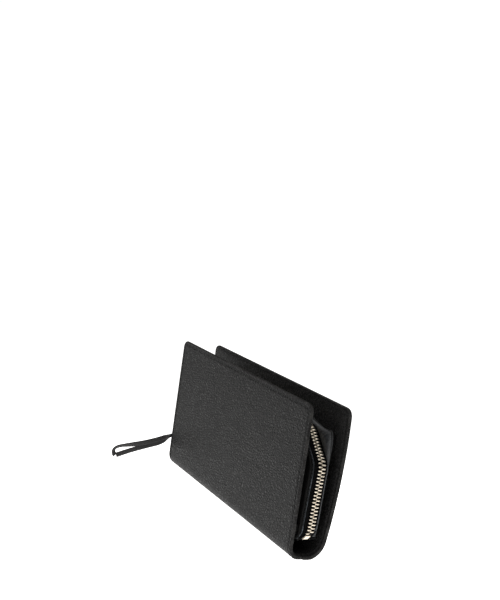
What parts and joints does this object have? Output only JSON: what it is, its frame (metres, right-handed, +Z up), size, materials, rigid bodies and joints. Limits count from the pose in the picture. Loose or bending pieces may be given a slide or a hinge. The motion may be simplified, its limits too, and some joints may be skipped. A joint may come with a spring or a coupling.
{
  "type": "long wallet",
  "caption": "Long leather wallet that stands on its fold: two covers, a pouch closed by a metal zip round three sides, card slots, and a slider with a leather pull strap.",
  "frame": {"origin": "on the ground, in the middle of the flat underside of the fold that the wallet stands on", "axes": "+X along the wallet, -Y out of the front cover, +Z up"},
  "size_m": [0.2026, 0.074, 0.0975],
  "materials": {
    "cover_leather": "black pebbled grain leather, satin",
    "lining_leather": "black fine grain leather, matte",
    "pouch_leather": "soft black leather with a slight shine",
    "pocket_leather": "thin black leather",
    "board": "bonded leather board, hidden",
    "zip_tape": "black woven polyester tape",
    "zip_metal": "nickel plated brass teeth, pale and slightly warm",
    "slider_metal": "polished nickel",
    "strap_leather": "narrow cut black leather strip"
  },
  "bodies": {
    "spine": {"spine_leather": "cover_leather", "spine_lining": "lining_leather"},
    "front_cover": {"front_board": "board", "front_cover_leather": "cover_leather", "front_lining": "lining_leather", "pouch_bottom": "pouch_leather", "pouch_front_wall": "pouch_leather", "pouch_gusset_front": "pouch_leather", "pouch_gusset_rear": "pouch_leather", "pouch_mount_strip": "pouch_leather", "pouch_rear_wall": "pouch_leather", "zip_bottom_stop": "zip_metal", "zip_tape_front": "zip_tape", "zip_tape_rear": "zip_tape", "zip_teeth_front": "zip_metal", "zip_teeth_front_left_end": "zip_metal", "zip_teeth_rear": "zip_metal", "zip_teeth_rear_left_end": "zip_metal", "zip_top_stops": "zip_metal"},
    "back_cover": {"back_board": "board", "back_cover_leather": "cover_leather", "back_lining": "lining_leather", "banknote_pocket": "pocket_leather", "card_slot_left_1": "pocket_leather", "card_slot_left_2": "pocket_leather", "card_slot_left_3": "pocket_leather", "card_slot_left_4": "pocket_leather", "card_slot_right_1": "pocket_leather", "card_slot_right_2": "pocket_leather", "card_slot_right_3": "pocket_leather", "card_slot_right_4": "pocket_leather"},
    "slider": {"slider_body": "slider_metal", "slider_bridge": "slider_metal"},
    "pull": {"pull_ring": "slider_metal", "pull_strap_upper": "strap_leather", "pull_strap_lower": "strap_leather"}
  },
  "joints": [
    {"name": "front_cover_fold", "type": "hinge", "parent": "spine", "child": "front_cover", "pos_m": [0, -0.00943, 0.00199], "axis": [1, 0, 0], "range_deg": [0, 88]},
    {"name": "back_cover_fold", "type": "hinge", "parent": "spine", "child": "back_cover", "pos_m": [0, 0.00945, 0.00337], "axis": [-1, 0, 0], "range_deg": [-1.5, 84]},
    {"name": "zip_slide", "type": "slide", "parent": "front_cover", "child": "slider", "axis": [0, 0, 1], "range_m": [0, 0.028], "deforming": ["zip_teeth_front_left_end", "zip_teeth_rear_left_end"]},
    {"name": "pull_swing", "type": "hinge", "parent": "slider", "child": "pull", "pos_m": [-0.09978, 0.0013, 0.0224], "axis": [0, 0, -1], "range_deg": [0, 140]}
  ]
}
